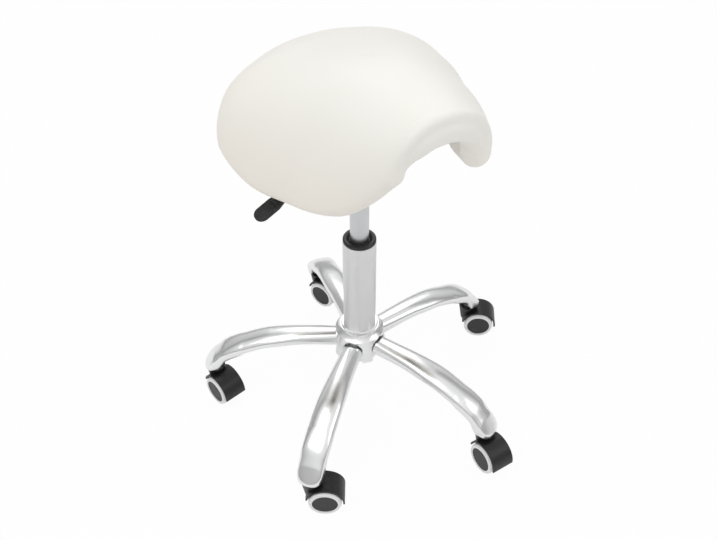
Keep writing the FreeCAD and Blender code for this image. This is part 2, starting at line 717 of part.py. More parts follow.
def pad_stations():
    """(y, y along the full pad, fullness) of the pad's sections, from the rear end to the nose."""
    stations = []
    for degrees in END_LEANS:
        lean = math.radians(degrees)
        stations.append((REAR_Y + PAD / 2 * math.sin(lean), REAR_Y, math.cos(lean)))
    for i in range(SECTIONS):
        y = REAR_Y + (NOSE_Y - REAR_Y) * i / (SECTIONS - 1)
        stations.append((y, y, 1.0))
    for degrees in reversed(END_LEANS):
        lean = math.radians(degrees)
        stations.append((NOSE_Y - PAD / 2 * math.sin(lean), NOSE_Y, math.cos(lean)))
    return stations


def build_seat():
    pad = loft([pad_section(*station) for station in pad_stations()], ruled=True)
    pad = pad.cut(sheet_loft(SHELL + SEAT_GAP, SHELL / 2, SEAT_GAP))
    shell = sheet_loft(SHELL, 0.0, 0.0)
    lining = sheet_loft(-LINING_GAP, LINING_GAP + LINING, -LINING_MARGIN)
    half_x = PLATE_WIDTH / 2 + LINING_MARGIN
    half_y = PLATE_LENGTH / 2 + LINING_MARGIN
    foot = plate_top()
    window = block(-half_x, half_x, -half_y, half_y, foot - LINING_MARGIN, foot + OVERCUT)
    bolts, nuts = [], []
    top = foot + SHELL
    under = foot - PLATE
    for x, y in bolt_places():
        barrel = BOLT_RADIUS + RUN + NUT_BARREL
        shell = shell.cut(cylinder(barrel + RUN, foot - OVERCUT, top + OVERCUT, x, y))
        flange_top = top + NUT_FLANGE
        pad = pad.cut(cylinder(NUT_FLANGE_RADIUS + SEAT_GAP, top - OVERCUT, flange_top + SEAT_GAP, x, y))
        nut = cylinder(barrel, foot + NUT_FLANGE, top, x, y)
        nut = nut.fuse(cylinder(NUT_FLANGE_RADIUS, top, flange_top, x, y))
        nuts.append(nut.cut(cylinder(BOLT_RADIUS + RUN, foot, flange_top + OVERCUT, x, y)).removeSplitter())
        bolt = cylinder(BOLT_RADIUS, under, top, x, y)
        bolts.append(bolt.fuse(hexagon(BOLT_HEAD_RADIUS, under - BOLT_HEAD, under, x, y)))
    parts["seat_cushion"] = pad
    parts["seat_shell"] = shell
    parts["seat_lining"] = lining.cut(window)
    parts["seat_bolts"] = Part.makeCompound(bolts)
    parts["tee_nuts"] = Part.makeCompound(nuts)


def hexagon(radius, bottom, top, x, y):
    corners = []
    for k in range(6):
        angle = k * math.pi / 3
        corners.append(V(x + radius * math.cos(angle), y + radius * math.sin(angle), bottom))
    return Part.Face(Part.makePolygon(corners + corners[:1])).extrude(V(0, 0, top - bottom))


def spun(points, side):
    """A wheel piece turned about its axle, from (radius, distance from the caster's middle)."""
    ring_points = [V(TRAIL, side * d, WHEEL_RADIUS + r) for r, d in points]
    face = Part.Face(Part.makePolygon(ring_points + ring_points[:1]))
    return face.revolve(V(TRAIL, 0, WHEEL_RADIUS), V(0, 1, 0), 360)


def caster_disc(radius, half_width, rear, front):
    """A disc about the axle, open below between two angles in degrees from its trailing side."""
    disc = Part.makeCylinder(radius, 2 * half_width, V(TRAIL, -half_width, WHEEL_RADIUS), V(0, 1, 0))
    reach = 3 * radius
    mouth = [V(TRAIL, -radius, WHEEL_RADIUS)]
    for degrees in (rear, -90, front):
        angle = math.radians(degrees)
        x, z = TRAIL + reach * math.cos(angle), WHEEL_RADIUS + reach * math.sin(angle)
        mouth.append(V(x, -radius, z))
    mouth = Part.Face(Part.makePolygon(mouth + mouth[:1]))
    return disc.cut(mouth.extrude(V(0, 2 * radius, 0)))


def build_hood():
    """The fender over both wheels, with the web between them and the boss round the stem."""
    inner = WHEEL_RADIUS + HOOD_GAP
    outer = inner + HOOD_WALL
    web = caster_disc(outer, WEB / 2, *WEB_ANGLES)
    hub = Part.makeCylinder(AXLE_BOSS_RADIUS, WEB, V(TRAIL, -WEB / 2, WHEEL_RADIUS), V(0, 1, 0))
    boss = Part.makeCone(*BOSS_RADII, boss_top() - BOSS_BOTTOM, V(0, 0, BOSS_BOTTOM))
    shape = caster_disc(outer, HOOD_HALF_WIDTH, *HOOD_ANGLES).fuse(boss)
    for side in (-1, 1):
        base = V(TRAIL, side * WEB / 2, WHEEL_RADIUS)
        shape = shape.cut(Part.makeCylinder(inner, HOOD_HALF_WIDTH, base, V(0, side, 0)))
    shape = shape.fuse([web, hub])
    shape = shape.cut(cylinder(STEM_RADIUS + RUN, STEM_FOOT, boss_top() + OVERCUT))
    bore = Part.makeCylinder(AXLE_RADIUS, 2 * WEB, V(TRAIL, -WEB, WHEEL_RADIUS), V(0, 1, 0))
    return shape.cut(bore).removeSplitter()


def boss_top():
    """The stem's flange lies between the boss and the arm's underside."""
    return ARM_TIP[2] - BOSS_GAP - STEM_FLANGE - SEAT_GAP


def build_casters():
    hood = build_hood()
    axle_half = CASTER_HALF_WIDTH - DISC_RECESS - DISC - SEAT_GAP
    axle = Part.makeCylinder(AXLE_RADIUS, 2 * axle_half, V(TRAIL, -axle_half, WHEEL_RADIUS), V(0, 1, 0))
    far = CASTER_HALF_WIDTH
    near = far - TYRE_WIDTH
    tread, seat = WHEEL_RADIUS, WHEEL_RADIUS - TYRE_DEPTH
    tyre_points = [
        (seat + RUN, near),
        (tread - TYRE_ROUND / 2, near),
        (tread, near + TYRE_ROUND),
        (tread, far - TYRE_ROUND),
        (tread - TYRE_ROUND / 2, far),
        (seat + RUN, far),
    ]
    face = far - DISC_RECESS
    bore = AXLE_RADIUS + RUN
    wheel_points = [
        (0, face),
        (seat, face),
        (seat, near),
        (bore, near),
        (bore, face - DISC),
        (0, face - DISC),
    ]
    flange_foot = boss_top() + SEAT_GAP
    stem = cylinder(STEM_RADIUS, STEM_FOOT + SEAT_GAP, SLEEVE_TOP - STEM_FLANGE)
    stem = stem.fuse(cylinder(STEM_FLANGE_RADIUS, flange_foot, flange_foot + STEM_FLANGE)).removeSplitter()
    sleeve_foot = flange_foot + STEM_FLANGE
    sleeve = ring(SLEEVE_RADIUS, STEM_RADIUS + RUN, sleeve_foot, SLEEVE_TOP)
    sleeves = []
    for i, trail in enumerate(CASTER_TRAILS):
        x, y = stem_place(i)
        name = f"caster_{i + 1}"
        parts[f"{name}_hood"] = turned(hood, trail, x, y)
        parts[f"{name}_stem"] = turned(stem, trail, x, y)
        parts[f"{name}_axle"] = turned(axle, trail, x, y)
        for side, word in ((1, "left"), (-1, "right")):
            parts[f"{name}_tyre_{word}"] = turned(spun(tyre_points, side), trail, x, y)
            parts[f"{name}_wheel_{word}"] = turned(spun(wheel_points, side), trail, x, y)
        sleeves.append(turned(sleeve, 0, x, y))
    parts["stem_sleeves"] = Part.makeCompound(sleeves)


build_hub()
build_arms()
build_column()
build_lift()
build_seat_plate()
build_lever()
build_seat()
build_casters()

os.makedirs("parts", exist_ok=True)
for name, shape in parts.items():
    shape.exportStep(f"parts/{name}.step")
    print(name, len(shape.Solids), shape.isValid(), round(shape.Volume / 1000, 2))
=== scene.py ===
"""The looks of a saddle stool: a white padded saddle, a gas lift and a chrome base on casters.

Metres, +Z up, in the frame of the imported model. A sitter faces -Y, and -X is at their right hand.
The saddle and the arms are drawn in millimetres, as the CAD is, and scaled as their meshes are made.
"""

import json
import math

import bpy
import numpy as np
from mathutils import Euler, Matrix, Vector


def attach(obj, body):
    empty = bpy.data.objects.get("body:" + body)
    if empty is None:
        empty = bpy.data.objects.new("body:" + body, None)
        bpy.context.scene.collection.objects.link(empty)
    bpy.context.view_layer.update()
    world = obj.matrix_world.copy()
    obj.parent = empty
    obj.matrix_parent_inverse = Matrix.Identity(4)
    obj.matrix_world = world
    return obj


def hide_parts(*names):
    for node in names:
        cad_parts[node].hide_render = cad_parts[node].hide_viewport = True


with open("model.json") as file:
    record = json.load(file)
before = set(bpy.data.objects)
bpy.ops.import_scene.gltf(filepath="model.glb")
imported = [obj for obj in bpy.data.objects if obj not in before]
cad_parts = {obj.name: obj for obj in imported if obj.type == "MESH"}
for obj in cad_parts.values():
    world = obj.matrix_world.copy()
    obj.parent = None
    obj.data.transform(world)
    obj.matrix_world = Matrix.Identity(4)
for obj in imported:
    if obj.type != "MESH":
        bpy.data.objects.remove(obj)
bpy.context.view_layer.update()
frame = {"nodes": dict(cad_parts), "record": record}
nodes = frame["nodes"]

MM = 0.001
WHITE = (1, 1, 1, 1)

# The photo's camera
CAMERA_PLACE = (-0.5177, -0.8755, 1.2045)
CAMERA_DOWN = 42.57  # degrees below the horizon
CAMERA_TURN = -30.47  # degrees about Z, from looking along +Y
CAMERA_ROLL = -0.12  # degrees
CAMERA_NEAREST = 0.01  # nothing closer is seen
FOCAL_PIXELS = 919.3
PICTURE_WIDTH = 716  # pixels
SENSOR_WIDTH = 36.0  # millimetres

# Saddle: the middle surface of its padding, in millimetres, from the rear to the nose
PAD_HALF = 19.0
REAR_Y = 121.7
NOSE_Y = -171.1
STATIONS = (0.0, 0.08, 0.22, 0.42, 0.62, 0.82, 1.0)  # shares of the way from the rear to the nose
HALF_WIDTHS = (89.6, 131.1, 155.0, 146.7, 121.6, 99.5, 58.5)
CROWN_HEIGHTS = (583.5, 591.1, 601.8, 617.7, 628.6, 630.6, 629.1)
RIM_HEIGHTS = (546.7, 540.5, 517.5, 503.6, 505.3, 522.6, 580.4)
SQUARENESS = (2.26, 2.48)  # power of the arch's plan, at the rear and the nose
FULLNESS = (2.0, 1.79)  # power of the arch's height, at the rear and the nose
VAULT = 568.0  # height of the flat ceiling over the seat plate
VAULT_FRONT_Y = -82.0  # the ceiling climbs from here to the nose
VAULT_BLEND = 7.0  # how softly the ceiling turns into the flaps

# Saddle: the mesh
RINGS = 44  # from the middle of the pad to its edge, above and below
RING_POINTS = 176
RIM_STEPS = 19  # rings round the rolled edge
MIDDLE = 0.5  # share of the way to the nose at which the rings close
SLOPE_STEP = 0.004  # share to either side at which the surface's slope is measured
EVENING_ROUNDS = 4  # rounds of evening out the directions of the rolled edge

# Saddle: the nose, where the rolled edge turns into a flat front face
NOSE_FACE_Y = -135.0  # the face grows from here to the nose
NOSE_BREADTH = 7.0  # how far the face keeps its form towards the flaps
NOSE_SQUARE = 1.6  # how much squarer than a circle the roll is there
NOSE_FULL = 0.26  # how much fuller the padding is in the middle of the face
NOSE_CORNER = 0.24  # how much slimmer the edge is at the face's lower corners
NOSE_CORNER_SPREAD = 16.0
NOSE_DENT = 4.2  # depth of the soft crease under the top of the face
NOSE_DENT_AT = 66.0  # degrees round the roll
NOSE_DENT_SPREAD = 15.0

# Base arms, in millimetres: half widths, crest and underside heights from the hub to the stem
ARMS = 5
BASE_YAW = 5.8  # degrees from +X to the first arm
STEM_CIRCLE = 238.0  # radius on which the casters' stems stand
ARM_START = 30.9  # from the column's axis to an arm's inner end
ARM_SHARES = (0.0, 0.28, 0.54, 0.76, 0.905, 1.0)  # of the way from that end to the stem
ARM_HALF_WIDTHS = (15.5, 17.6, 20.4, 20.6, 20.2, 19.4)
ARM_CRESTS = (142.0, 142.2, 137.0, 123.5, 108.5, 90.5)
ARM_UNDERSIDES = (114.0, 117.8, 114.0, 98.5, 84.5, 62.0)
ARM_HEEL = 6.0  # from the stem back to where the underside starts to climb
ARM_TOE = 16.0  # from the stem out to the end
ARM_TOE_TOP = 68.0  # height of the crest at the end
ARM_TOE_POWER = 2.6  # how blunt the toe is
ARM_TIP_HALF_WIDTH = 0.05  # keeps the last ring open
ARM_SQUARE_START = 0.76  # share of the way out at which the section starts to turn square
ARM_OVAL = 2.15  # power of the section: 2 is an ellipse, and more is squarer
ARM_UPPER_SQUARE = 0.35  # how much that power grows above the waist towards the stem
ARM_LOWER_SQUARE = 4.5  # and below it
ARM_WAIST = 0.5  # share of the section's height at which it is widest
ARM_WAIST_RISE = 0.12  # how much that share grows towards the stem
ARM_AROUND = 72  # points round each ring
ARM_STEPS = 84  # rings from the hub to the stem
ARM_TOE_STEPS = 19  # and from the stem to the end

# Painted shade: the cover is painted darker and warmer below the first height, as the shade on its lower
# flanks, and plain white above the second
LEATHER_SHADE_BELOW = 0.50
LEATHER_UNSHADED_ABOVE = 0.63

FLOOR_SIZE = 14.0
FLOOR_COLOUR = (0.93, 0.93, 0.93, 1)
FLOOR_GLOW = 0.95  # how far the floor is plain white to the camera
FLOOR_GLOW_MIRRORED = 0.1  # and in reflections

# The studio: even light on everything, while reflections show PANELS, which lie over the half turn
# from the horizon in front of the stool, over its top, to the horizon behind it
AMBIENT = 0.68  # brightness of the even light
FRONT = (-0.507, -0.862, 0.0)  # towards the camera
SIDE = (0.862, -0.507, 0.0)  # towards the picture's right
SIDE_FALL = 0.5  # how much darker the panels are to either side
PANELS = (  # (share of the half turn, brightness)
    (0.0, 0.34),
    (0.05, 0.38),
    (0.14, 0.76),
    (0.30, 0.88),
    (0.59, 0.90),
    (0.645, 0.36),
    (0.69, 0.36),
    (0.75, 0.70),
    (0.90, 0.78),
    (0.95, 0.40),
    (1.0, 0.15),
)
LIGHTS = (  # (name, place, target, side of the square, watts)
    ("key_light", (-1.0, -0.3, 2.6), (0, 0, 0.5), 1.8, 16.0),
    ("fill_light", (1.6, -1.6, 1.8), (0, 0, 0.4), 1.4, 6.0),
    ("back_light", (0.9, 1.6, 2.2), (0, 0, 0.5), 1.6, 9.0),
)


class Nodes:
    """A material's or the world's node tree, with short calls to add nodes and join them.

    An input is given as a plain value or as the socket that feeds it.
    """

    def __init__(self, owner):
        owner.use_nodes = True
        self.tree = owner.node_tree
        self.tree.nodes.clear()

    def add(self, kind, settings=None, **inputs):
        node = self.tree.nodes.new(kind)
        for name, value in (settings or {}).items():
            setattr(node, name, value)
        self.fill(node, **inputs)
        return node

    def fill(self, node, **inputs):
        """Sets inputs by their names, with underscores for the spaces."""
        for name, value in inputs.items():
            self.set(node, name.replace("_", " "), value)

    def set(self, node, place, value):
        """Sets one input by its name or its place in the list."""
        socket = node.inputs[place]
        if isinstance(value, bpy.types.NodeSocket):
            self.tree.links.new(value, socket)
        else:
            socket.default_value = value

    def calc(self, operation, *values, clamp=False):
        node = self.add("ShaderNodeMath", {"operation": operation, "use_clamp": clamp})
        for place, value in enumerate(values):
            self.set(node, place, value)
        return node.outputs[0]

    def dot(self, first, second):
        node = self.add("ShaderNodeVectorMath", {"operation": "DOT_PRODUCT"})
        for place, value in enumerate((first, second)):
            self.set(node, place, value)
        return node.outputs["Value"]

    def noise(self, point, scale, detail=3.0, roughness=0.55):
        return self.add(
            "ShaderNodeTexNoise", Vector=point, Scale=scale, Detail=detail, Roughness=roughness
        ).outputs["Fac"]

    def span(self, value, low, high, start=0.0, end=1.0):
        """Maps start..end to low..high."""
        return self.add(
            "ShaderNodeMapRange",
            {"clamp": True},
            Value=value,
            From_Min=start,
            From_Max=end,
            To_Min=low,
            To_Max=high,
        ).outputs["Result"]

    def mix(self, factor, first, second):
        """A mix of two colours, whose sockets share their names with those of other kinds of value."""
        node = self.add("ShaderNodeMix", {"data_type": "RGBA"}, Factor=factor)
        for place, colour in ((6, first), (7, second)):
            self.set(node, place, colour)
        return node.outputs[2]

    def mix_shaders(self, factor, first, second):
        node = self.add("ShaderNodeMixShader")
        for place, value in enumerate((factor, first.outputs[0], second.outputs[0])):
            self.set(node, place, value)
        return node

    def bump(self, height, distance, strength, under=None):
        node = self.add("ShaderNodeBump", Height=height, Distance=distance, Strength=strength)
        if under is not None:
            self.set(node, "Normal", under)
        return node.outputs["Normal"]


def rgb(red, green, blue):
    """A linear colour from sRGB values in 0..255."""
    channels = []
    for value in (red, green, blue):
        share = value / 255
        channels.append(share / 12.92 if share <= 0.04045 else ((share + 0.055) / 1.055) ** 2.4)
    return (*channels, 1.0)


def finish_material(name, build):
    """A material whose nodes build(tree, point, shader) makes."""
    material = bpy.data.materials.new(name)
    tree = Nodes(material)
    point = tree.add("ShaderNodeTexCoord").outputs["Object"]
    shader = tree.add("ShaderNodeBsdfPrincipled")
    tree.add("ShaderNodeOutputMaterial", Surface=shader.outputs["BSDF"])
    build(tree, point, shader)
    return material


def leather(tree, point, shader):
    """White artificial leather: a fine pebbled grain, faint creasing and an even soft gloss."""
    cloud = tree.span(tree.noise(point, scale=9.0), low=0.25, high=0.75)
    height = tree.add("ShaderNodeSeparateXYZ", Vector=point).outputs["Z"]
    # Painted shade: the lower flanks get darker, warmer copies of the top's colours, as the shade there
    painted_shade = tree.span(height, low=1.0, high=0.0, start=LEATHER_SHADE_BELOW, end=LEATHER_UNSHADED_ABOVE)
    top = tree.mix(cloud, rgb(243, 242, 236), rgb(241, 239, 232))
    shaded_flank = tree.mix(cloud, rgb(243, 238, 229), rgb(240, 234, 223))
    grain = tree.add("ShaderNodeTexVoronoi", {"feature": "SMOOTH_F1"}, Vector=point, Scale=1150.0)
    creases = tree.bump(
        tree.noise(point, scale=60.0, detail=4.0, roughness=0.6), distance=0.0006, strength=0.25
    )
    tree.fill(
        shader,
        Base_Color=tree.mix(painted_shade, top, shaded_flank),
        Roughness=tree.span(tree.noise(point, scale=220.0, detail=2.0), low=0.42, high=0.52),
        Normal=tree.bump(grain.outputs["Distance"], distance=0.0001, strength=0.6, under=creases),
        Specular_IOR_Level=0.4,
        Sheen_Weight=0.08,
    )


def chrome(tree, point, shader):
    """Bright plate over satin steel, with the faint waviness of a pressed tube."""
    wipe = tree.noise(point, scale=35.0, detail=4.0)
    waves = tree.noise(point, scale=22.0, detail=2.0)
    tree.fill(
        shader,
        Metallic=1.0,
        Base_Color=tree.mix(wipe, (0.88, 0.885, 0.89, 1), (0.93, 0.93, 0.93, 1)),
        Roughness=tree.span(wipe, low=0.21, high=0.28),
        Normal=tree.bump(waves, distance=0.0003, strength=0.08),
    )


def satin_metal(light, dark, roughness):
    """Brushed round the axis of the column, with a little cloudiness. roughness is (lowest, highest)."""

    def build(tree, point, shader):
        stretch = tree.add("ShaderNodeMapping", Vector=point, Scale=(20.0, 20.0, 1500.0))
        lines = tree.noise(stretch.outputs["Vector"], scale=1.0)
        tree.fill(
            shader,
            Metallic=1.0,
            Base_Color=tree.mix(tree.noise(point, scale=30.0), light, dark),
            Roughness=tree.span(lines, *roughness),
            Normal=tree.bump(lines, distance=0.00003, strength=0.4),
        )

    return build


def moulded(light, dark, roughness, grain=900.0):
    """Moulded plastic or rubber with a fine texture of scale grain. roughness is (lowest, highest)."""

    def build(tree, point, shader):
        cloud = tree.noise(point, scale=45.0, detail=4.0)
        fine = tree.noise(point, scale=grain, detail=2.0)
        tree.fill(
            shader,
            Base_Color=tree.mix(cloud, light, dark),
            Roughness=tree.span(cloud, *roughness),
            Normal=tree.bump(fine, distance=0.00008, strength=0.5),
        )

    return build


def plywood(tree, point, shader):
    """Thin layers of pale wood, one over the other."""
    layers = tree.add(
        "ShaderNodeTexWave", {"bands_direction": "Z"}, Vector=point, Scale=180.0, Distortion=1.5
    )
    tone = tree.mix(layers.outputs["Fac"], (0.62, 0.50, 0.36, 1), (0.74, 0.64, 0.49, 1))
    tree.fill(shader, Base_Color=tone, Roughness=0.7)


def felt(tree, point, shader):
    """The pale cloth under the shell."""
    fibre = tree.noise(point, scale=2500.0, detail=4.0, roughness=0.7)
    tree.fill(
        shader,
        Base_Color=tree.mix(fibre, (0.62, 0.62, 0.61, 1), (0.76, 0.76, 0.75, 1)),
        Roughness=0.95,
        Normal=tree.bump(fibre, distance=0.0003, strength=0.6),
        Sheen_Weight=0.2,
    )


column_silver = satin_metal((0.78, 0.78, 0.785, 1), (0.74, 0.74, 0.745, 1), roughness=(0.38, 0.50))
lift_steel = satin_metal((0.66, 0.67, 0.68, 1), (0.60, 0.61, 0.62, 1), roughness=(0.28, 0.40))
zinc_steel = satin_metal((0.62, 0.62, 0.62, 1), (0.54, 0.54, 0.53, 1), roughness=(0.30, 0.45))
black_coat = moulded(rgb(34, 34, 35), rgb(26, 26, 27), roughness=(0.38, 0.50), grain=500.0)
lever_black = moulded(rgb(30, 30, 32), rgb(22, 22, 24), roughness=(0.42, 0.55))
collar_black = moulded(rgb(22, 22, 23), rgb(16, 16, 17), roughness=(0.30, 0.42))
hood_black = moulded(rgb(28, 28, 30), rgb(20, 20, 22), roughness=(0.32, 0.44))
disc_grey = moulded(rgb(50, 50, 52), rgb(40, 40, 42), roughness=(0.40, 0.52))
tyre_pale = moulded(rgb(242, 242, 243), rgb(234, 234, 236), roughness=(0.50, 0.62), grain=700.0)
seal_black = moulded(rgb(24, 24, 24), rgb(18, 18, 18), roughness=(0.60, 0.70))

# By the material slots of the record
MATERIALS = {
    "seat_cover": finish_material("seat_leather", leather),
    "base_chrome": finish_material("bright_chrome", chrome),
    "column_paint": finish_material("column_silver", column_silver),
    "lift_tube": finish_material("lift_steel", lift_steel),
    "plain_steel": finish_material("zinc_steel", zinc_steel),
    "black_paint": finish_material("black_coat", black_coat),
    "lever_plastic": finish_material("lever_black", lever_black),
    "black_plastic": finish_material("collar_black", collar_black),
    "hood_plastic": finish_material("hood_black", hood_black),
    "disc_plastic": finish_material("disc_grey", disc_grey),
    "tyre_grey": finish_material("tyre_pale", tyre_pale),
    "seal_rubber": finish_material("seal_black", seal_black),
    "plywood": finish_material("bent_plywood", plywood),
    "lining_fabric": finish_material("lining_felt", felt),
}


def shade_smooth(mesh):
    for face in mesh.polygons:
        face.use_smooth = True


def dress_nodes():
    """Every carried-over piece gets the material of its slot."""
    for part in frame["record"]["subparts"]:
        mesh = nodes[part["node"]].data
        mesh.materials.clear()
        mesh.materials.append(MATERIALS[part["material_slot"]])
        shade_smooth(mesh)


def new_piece(name, points, faces, body, slot):
    """A mesh piece from points in millimetres, smooth, riding on a body."""
    mesh = bpy.data.meshes.new(name)
    mesh.from_pydata([tuple(float(c) * MM for c in p) for p in points], [], faces)
    mesh.update()
    thing = bpy.data.objects.new(name, mesh)
    bpy.context.scene.collection.objects.link(thing)
    mesh.materials.append(MATERIALS[slot])
    shade_smooth(mesh)
    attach(thing, body)
    return thing


def ring_faces(rings, around):
    """Four-sided faces from each closed ring of points to the next."""
    faces = []
    for i in range(rings - 1):
        for k in range(around):
            a, b = i * around + k, i * around + (k + 1) % around
            faces.append((a, b, b + around, a + around))
    return faces


def monotone(knots, values, at):
    """A curve through the values that never overshoots them."""
    knots, values = np.asarray(knots, float), np.asarray(values, float)
    steps = np.diff(knots)
    slopes = np.diff(values) / steps
    tangents = np.zeros_like(values)
    tangents[0], tangents[-1] = slopes[0], slopes[-1]
    for i in range(1, len(values) - 1):
        if slopes[i - 1] * slopes[i] > 0:
            before, after = 2 * steps[i] + steps[i - 1], steps[i] + 2 * steps[i - 1]
            tangents[i] = (before + after) / (before / slopes[i - 1] + after / slopes[i])
    i = np.clip(np.searchsorted(knots, at, side="right") - 1, 0, len(steps) - 1)
    h = steps[i]
    t = (at - knots[i]) / h
    return (
        (2 * t**3 - 3 * t**2 + 1) * values[i]
        + (t**3 - 2 * t**2 + t) * h * tangents[i]
        + (3 * t**2 - 2 * t**3) * values[i + 1]
        + (t**3 - t**2) * h * tangents[i + 1]
    )


def bell(value, centre, spread):
    """1 at the centre, falling softly to 0 on both sides."""
    return np.exp(-(((value - centre) / spread) ** 2))


def unit(vectors):
    """The vectors' directions. The small number keeps a zero vector from dividing by zero."""
    return vectors / (np.linalg.norm(vectors, axis=-1, keepdims=True) + 1e-12)


def saddle_surface(along, across):
    """Points of the padding's middle surface. along is 0 at the rear and 1 at the nose, across -1..1."""
    half_width = monotone(STATIONS, HALF_WIDTHS, along)
    crown = monotone(STATIONS, CROWN_HEIGHTS, along)
    rim = monotone(STATIONS, RIM_HEIGHTS, along)
    plan = SQUARENESS[0] + (SQUARENESS[1] - SQUARENESS[0]) * along
    height = FULLNESS[0] + (FULLNESS[1] - FULLNESS[0]) * along
    angle = across * math.pi / 2
    x = half_width * np.sign(np.sin(angle)) * np.abs(np.sin(angle)) ** (2 / plan)
    z = rim + (crown - rim) * np.abs(np.cos(angle)) ** (2 / height)
    y = REAR_Y + (NOSE_Y - REAR_Y) * along
    return np.stack([x, y, z], -1)


def stretch_to_square(coordinate, other):
    """One coordinate of a disc's points, moved so that the disc fills the square round it."""
    centre = 2 + coordinate**2 - other**2
    swing = 2 * math.sqrt(2) * coordinate
    return (np.sqrt(np.maximum(centre + swing, 0)) - np.sqrt(np.maximum(centre - swing, 0))) / 2


def middle_rings():
    """Rings of points on the middle surface, from its middle out to its edge, and the normals there."""
    share = np.linspace(0, 1, RINGS + 1)[1:]
    turn = np.arange(RING_POINTS) * 2 * math.pi / RING_POINTS
    radius, turn = np.meshgrid(share, turn, indexing="ij")
    u, v = radius * np.cos(turn), radius * np.sin(turn)
    # The points lie closer together near the rear and the nose, where the outline is roundest
    along = np.clip((1 - np.cos((stretch_to_square(u, v) + 1) * math.pi / 2)) / 2, 0, 1)
    across = np.clip(stretch_to_square(v, u), -1, 1)
    before, after = np.clip(along - SLOPE_STEP, 0, 1), np.clip(along + SLOPE_STEP, 0, 1)
    right, left = np.clip(across - SLOPE_STEP, -1, 1), np.clip(across + SLOPE_STEP, -1, 1)
    lengthwise = saddle_surface(after, across) - saddle_surface(before, across)
    sidewise = saddle_surface(along, left) - saddle_surface(along, right)
    normal = unit(np.cross(sidewise, lengthwise))
    return saddle_surface(along, across), normal * np.sign(normal[..., 2].mean())


def even_out(directions):
    """Each direction round a ring, drawn towards its neighbours."""
    return unit(np.roll(directions, 1, 0) + 2 * directions + np.roll(directions, -1, 0))


def edge_directions(edge, up):
    """The directions up and outward along the pad's edge, evened out round it."""
    tangent = unit(np.roll(edge, -2, 0) - np.roll(edge, 2, 0))
    for _ in range(EVENING_ROUNDS):
        up, tangent = even_out(up), even_out(tangent)
    outward = unit(np.cross(tangent, up))
    return up, outward * np.sign(((edge - edge.mean(0)) * outward).sum(-1).mean())


def rolled_edge(edge, up, outward):
    """Rings round the pad's edge, from its top to its underside, with the face at the nose."""
    aside = np.abs(edge[:, 0:1])
    nose = np.clip((NOSE_FACE_Y - edge[:, 1:2]) / (NOSE_FACE_Y - NOSE_Y), 0, 1)
    corner = nose * bell(aside, HALF_WIDTHS[-1], NOSE_CORNER_SPREAD)
    face = nose * (1 - np.clip(aside / HALF_WIDTHS[-1], 0, 1) ** NOSE_BREADTH)
    power = 2 + NOSE_SQUARE * face
    rings = []
    for k in range(1, RIM_STEPS + 1):
        angle = math.pi * k / (RIM_STEPS + 1)
        c, s = math.cos(angle), math.sin(angle)
        square = (abs(c) ** power + s**power) ** (-1 / power)
        reach = square * (1 + (NOSE_FULL * face - NOSE_CORNER * corner) * s)
        dent = NOSE_DENT * face * bell(math.degrees(angle), NOSE_DENT_AT, NOSE_DENT_SPREAD)
        rings.append(edge + (PAD_HALF * reach - dent) * (c * up + s * outward))
    return rings


def ceiling(y):
    """Height of the vault's flat ceiling, which rises towards the nose."""
    share = np.clip((VAULT_FRONT_Y - y) / (VAULT_FRONT_Y - NOSE_Y), 0, 1)
    rise = CROWN_HEIGHTS[-1] - PAD_HALF - VAULT
    return VAULT + rise * np.sin(share * math.pi / 2)


def vault_rings(underside):
    """Rings of the underside from its edge to its middle, kept below the ceiling."""
    rings = underside[::-1].copy()
    gap = rings[..., 2] - ceiling(rings[..., 1])
    rings[..., 2] -= VAULT_BLEND * np.logaddexp(0, gap / VAULT_BLEND)
    return list(rings)


def build_saddle():
    """The padded cover: over the top, round the rolled edge and back under the vault."""
    middle, normal = middle_rings()
    up, outward = edge_directions(middle[-1], normal[-1])
    rings = list(middle + PAD_HALF * normal)
    rings += rolled_edge(middle[-1], up, outward)
    rings += vault_rings(middle - PAD_HALF * normal)
    faces = ring_faces(len(rings), RING_POINTS)
    top = saddle_surface(np.array([MIDDLE]), np.array([0.0]))[0] + (0, 0, PAD_HALF)
    bottom = (top[0], top[1], VAULT)
    points = np.concatenate([*rings, [top, bottom]])
    top_index, bottom_index = len(points) - 2, len(points) - 1
    last_ring = top_index - RING_POINTS
    for k in range(RING_POINTS):
        after = (k + 1) % RING_POINTS
        faces.append((top_index, after, k))
        faces.append((bottom_index, last_ring + k, last_ring + after))
    pad = new_piece("saddle_pad", points, faces, "seat", "seat_cover")
    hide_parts("seat_cushion")


def arm_profile(reach):
    """(half width, crest, underside, squareness) of an arm at a distance from the column's axis."""
    run = STEM_CIRCLE - ARM_START
    share = min((reach - ARM_START) / run, 1.0)
    low_shares = (*ARM_SHARES[:-1], 1 - ARM_HEEL / run, 1.0)
    undersides = (*ARM_UNDERSIDES, ARM_UNDERSIDES[-1])
    half_width = float(monotone(ARM_SHARES, ARM_HALF_WIDTHS, share))
    crest = float(monotone(ARM_SHARES, ARM_CRESTS, share))
    underside = float(monotone(low_shares, undersides, share))
    square = math.sqrt(max(0.0, (share - ARM_SQUARE_START) / (1 - ARM_SQUARE_START)))
    if reach > STEM_CIRCLE:
        toe = min((reach - STEM_CIRCLE) / ARM_TOE, 1.0)
        half_width *= (1 - toe**ARM_TOE_POWER) ** (1 / ARM_TOE_POWER)
        crest += (ARM_TOE_TOP - crest) * toe
    return max(half_width, ARM_TIP_HALF_WIDTH), crest, underside, square


